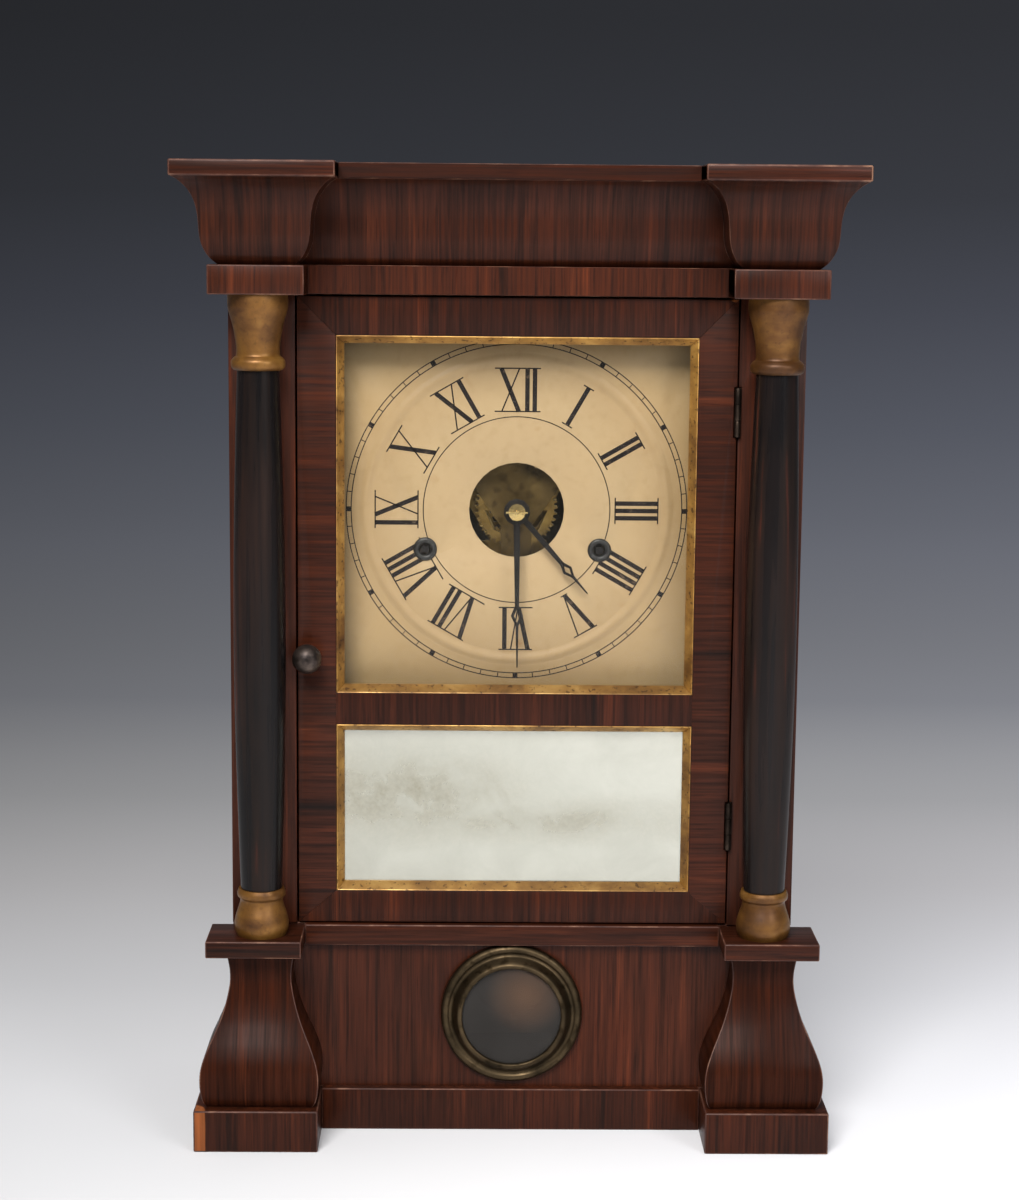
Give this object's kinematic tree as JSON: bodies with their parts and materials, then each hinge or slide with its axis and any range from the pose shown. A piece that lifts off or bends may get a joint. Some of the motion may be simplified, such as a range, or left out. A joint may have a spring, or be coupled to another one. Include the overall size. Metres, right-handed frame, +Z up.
{
  "type": "shelf clock",
  "caption": "Upright wooden shelf clock with moulded cornice, front columns on scroll brackets, hinged glazed door, round dial with Roman numerals, small mirror and round lower window.",
  "frame": {"origin": "middle of the overall rectangle seen from above, on the surface that the clock stands on", "axes": "+Z up, +X to the right of someone who faces the dial, +Y towards the back"},
  "size_m": [0.274, 0.1212, 0.4064],
  "materials": {
    "rosewood": "polished veneer, dark red-brown with darker streaks",
    "softwood": "bare, aged",
    "ebonised_wood": "semi-gloss black with worn reddish streaks",
    "gilt": "aged bronze-gold leaf on wood",
    "dark_brass": "dark patinated",
    "brass": "aged, brushed",
    "steel": "blued or blackened",
    "dial_paint": "aged cream paint with black numerals",
    "clear_glass": "old clear glass",
    "mirror_glass": "aged silvering with grey mottling"
  },
  "bodies": {
    "case": {"side_left": "rosewood", "side_right": "rosewood", "back_board": "softwood", "base_board": "softwood", "stile_left": "rosewood", "stile_right": "rosewood", "lower_panel": "rosewood", "base_rail": "rosewood", "ledge": "rosewood", "foot_left": "rosewood", "foot_right": "rosewood", "bracket_left": "rosewood", "bracket_right": "rosewood", "bracket_cap_left": "rosewood", "bracket_cap_right": "rosewood", "column_left": "ebonised_wood", "column_right": "ebonised_wood", "capital_left": "gilt", "capital_right": "gilt", "column_base_left": "gilt", "column_base_right": "gilt", "frieze": "rosewood", "cornice": "rosewood", "top_slab": "rosewood", "window_bezel": "dark_brass", "window_glass": "clear_glass", "hinge_upper_case_leaf": "dark_brass", "hinge_lower_case_leaf": "dark_brass", "dial": "dial_paint", "front_plate": "brass", "back_plate": "brass", "time_mainspring": "steel", "strike_mainspring": "steel", "gong": "steel"},
    "door": {"door_frame": "rosewood", "dial_bead": "gilt", "mirror_bead": "gilt", "door_glass": "clear_glass", "mirror": "mirror_glass", "mirror_back": "softwood", "hinge_upper_door_leaf": "dark_brass", "hinge_lower_door_leaf": "dark_brass"},
    "knob": {"knob": "dark_brass"},
    "minute": {"centre_arbor": "brass", "minute_hand": "steel"},
    "hour": {"hour_pipe": "brass", "hour_hand": "steel"},
    "motion": {"motion_wheel": "brass"},
    "time_great": {"time_great_wheel": "brass"},
    "time_winding": {"time_winding_arbor": "steel"},
    "third": {"third_wheel": "brass"},
    "escape": {"escape_wheel": "brass"},
    "verge": {"verge": "steel"},
    "pendulum": {"pendulum_rod": "brass", "pendulum_bob": "brass"},
    "strike": {"strike_wheel": "brass"},
    "strike_great": {"strike_great_wheel": "brass"},
    "strike_winding": {"strike_winding_arbor": "steel"},
    "fly": {"fly": "brass"},
    "hammer": {"hammer": "steel"}
  },
  "joints": [
    {"name": "door_hinge", "type": "hinge", "parent": "case", "child": "door", "pos_m": [0.0905, -0.0223, 0.222], "axis": [0, 0, 1], "range_deg": [0, 98]},
    {"name": "knob_turn", "type": "hinge", "parent": "door", "child": "knob", "pos_m": [-0.0859, -0.0144, 0.2048], "axis": [0, 1, 0], "range_deg": [0, 90]},
    {"name": "minute_hand", "type": "hinge", "parent": "case", "child": "minute", "pos_m": [0.0005, 0.0086, 0.264], "axis": [0, 1, 0], "continuous": true},
    {"name": "hour_hand", "type": "hinge", "parent": "case", "child": "hour", "pos_m": [0.0005, -0.0014, 0.264], "axis": [0, 1, 0], "continuous": true},
    {"name": "motion_work", "type": "hinge", "parent": "case", "child": "motion", "pos_m": [0.0005, 0.0106, 0.24417], "axis": [0, 1, 0], "continuous": true},
    {"name": "time_great", "type": "hinge", "parent": "case", "child": "time_great", "pos_m": [0.0356, 0.0196, 0.2472], "axis": [0, 1, 0], "continuous": true},
    {"name": "time_winding", "type": "hinge", "parent": "time_great", "child": "time_winding", "pos_m": [0.0356, 0.0196, 0.2472], "axis": [0, 1, 0], "continuous": true},
    {"name": "third", "type": "hinge", "parent": "case", "child": "third", "pos_m": [0.00878, 0.0166, 0.28176], "axis": [0, 1, 0], "continuous": true},
    {"name": "escape", "type": "hinge", "parent": "case", "child": "escape", "pos_m": [0.00046, 0.0326, 0.29742], "axis": [0, 1, 0], "continuous": true},
    {"name": "pendulum_swing", "type": "hinge", "parent": "case", "child": "pendulum", "pos_m": [0.0005, 0.0421, 0.318], "axis": [0, 1, 0], "range_deg": [-4, 4]},
    {"name": "verge_rock", "type": "hinge", "parent": "case", "child": "verge", "pos_m": [0.0005, 0.0326, 0.318], "axis": [0, 1, 0], "range_deg": [-4, 4]},
    {"name": "strike_train", "type": "hinge", "parent": "case", "child": "strike", "pos_m": [-0.0283, 0.0246, 0.28304], "axis": [0, 1, 0], "continuous": true},
    {"name": "strike_great", "type": "hinge", "parent": "case", "child": "strike_great", "pos_m": [-0.0379, 0.0196, 0.2472], "axis": [0, 1, 0], "continuous": true},
    {"name": "strike_winding", "type": "hinge", "parent": "strike_great", "child": "strike_winding", "pos_m": [-0.0379, 0.0196, 0.2472], "axis": [0, 1, 0], "continuous": true},
    {"name": "fly_spin", "type": "hinge", "parent": "case", "child": "fly", "pos_m": [-0.03121, 0.0186, 0.29958], "axis": [0, 1, 0], "continuous": true},
    {"name": "hammer_lift", "type": "hinge", "parent": "case", "child": "hammer", "pos_m": [-0.018, 0.0446, 0.209], "axis": [0, 1, 0], "range_deg": [0, 14]}
  ],
  "couplings": [
    {"joint": "hour_hand", "follows": "minute_hand", "ratio": 0.083333},
    {"joint": "motion_work", "follows": "minute_hand", "ratio": -0.5},
    {"joint": "time_great", "follows": "minute_hand", "ratio": -0.16667},
    {"joint": "third", "follows": "minute_hand", "ratio": -6},
    {"joint": "escape", "follows": "minute_hand", "ratio": 36},
    {"joint": "verge_rock", "follows": "pendulum_swing", "ratio": 1},
    {"joint": "strike_great", "follows": "strike_train", "ratio": -0.16667},
    {"joint": "fly_spin", "follows": "strike_train", "ratio": -6}
  ]
}
